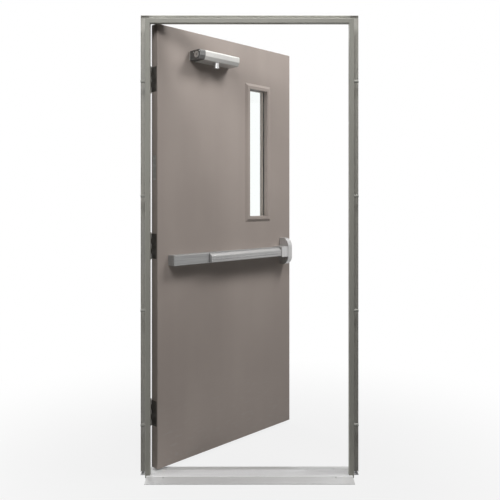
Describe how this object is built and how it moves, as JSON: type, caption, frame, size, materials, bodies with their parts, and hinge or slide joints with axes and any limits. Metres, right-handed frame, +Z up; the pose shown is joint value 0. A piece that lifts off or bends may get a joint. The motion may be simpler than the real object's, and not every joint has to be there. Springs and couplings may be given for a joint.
{
  "type": "fire rated door",
  "caption": "Hollow metal fire door leaf with a narrow vision panel, surface closer and push bar, hung in a pressed steel frame on a saddle threshold.",
  "frame": {"origin": "middle of the threshold's underside at floor level, on the line between the jambs", "axes": "+X along the wall from the hinge jamb to the strike jamb, +Y to the side the leaf swings to, +Z up"},
  "size_m": [0.9864, 0.781, 2.068],
  "materials": {
    "frame_paint": "satin",
    "mill_aluminium": "satin",
    "plain_steel": "satin",
    "dark_hinge_steel": "satin",
    "door_paint": "satin",
    "honeycomb": "matte",
    "clear_glass": "gloss",
    "dark_tape": "matte",
    "silver_paint": "satin",
    "cast_aluminium": "satin",
    "bright_steel": "satin",
    "satin_silver": "satin"
  },
  "bodies": {
    "frame": {"hinge_jamb": "frame_paint", "strike_jamb": "frame_paint", "frame_head": "frame_paint", "threshold": "mill_aluminium", "hinge_backing_plates": "plain_steel", "left_floor_anchor": "plain_steel", "right_floor_anchor": "plain_steel", "left_anchor_sleeves": "plain_steel", "right_anchor_sleeves": "plain_steel", "top_hinge_frame_leaf": "dark_hinge_steel", "middle_hinge_frame_leaf": "dark_hinge_steel", "bottom_hinge_frame_leaf": "dark_hinge_steel", "top_hinge_pin": "dark_hinge_steel", "middle_hinge_pin": "dark_hinge_steel", "bottom_hinge_pin": "dark_hinge_steel"},
    "leaf": {"push_face_sheet": "door_paint", "pull_face_sheet": "door_paint", "fire_core": "honeycomb", "top_channel": "door_paint", "bottom_channel": "door_paint", "top_hinge_leaf": "dark_hinge_steel", "middle_hinge_leaf": "dark_hinge_steel", "bottom_hinge_leaf": "dark_hinge_steel", "push_side_lite_frame": "door_paint", "pull_side_lite_frame": "door_paint", "lite_glass": "clear_glass", "glazing_tape": "dark_tape", "closer_base": "silver_paint", "closer_body": "cast_aluminium", "closer_cover": "silver_paint", "closer_end_plugs": "bright_steel", "closer_spindle": "bright_steel", "bar_rail": "satin_silver", "bar_cover": "satin_silver", "bar_end_cap": "satin_silver", "pad_guide": "plain_steel", "latch_case": "satin_silver", "latch_case_base": "plain_steel"},
    "push_pad": {"push_pad": "satin_silver"},
    "latch_bolt": {"latch_bolt": "bright_steel"}
  },
  "joints": [
    {"name": "leaf_swing", "type": "hinge", "parent": "frame", "child": "leaf", "pos_m": [-0.4547, 0.05945, 1.0225], "axis": [0, 0, 1], "range_deg": [-45, 135]},
    {"name": "pad_press", "type": "slide", "parent": "leaf", "child": "push_pad", "axis": [-0.7071, 0.7071, 0], "range_m": [0, 0.012], "stiffness_N_per_m": 800, "springref_m": -0.02},
    {"name": "latch_retract", "type": "slide", "parent": "leaf", "child": "latch_bolt", "axis": [-0.7071, -0.7071, 0], "range_m": [0, 0.012]}
  ],
  "couplings": [
    {"joint": "latch_retract", "follows": "pad_press", "ratio": 1}
  ]
}
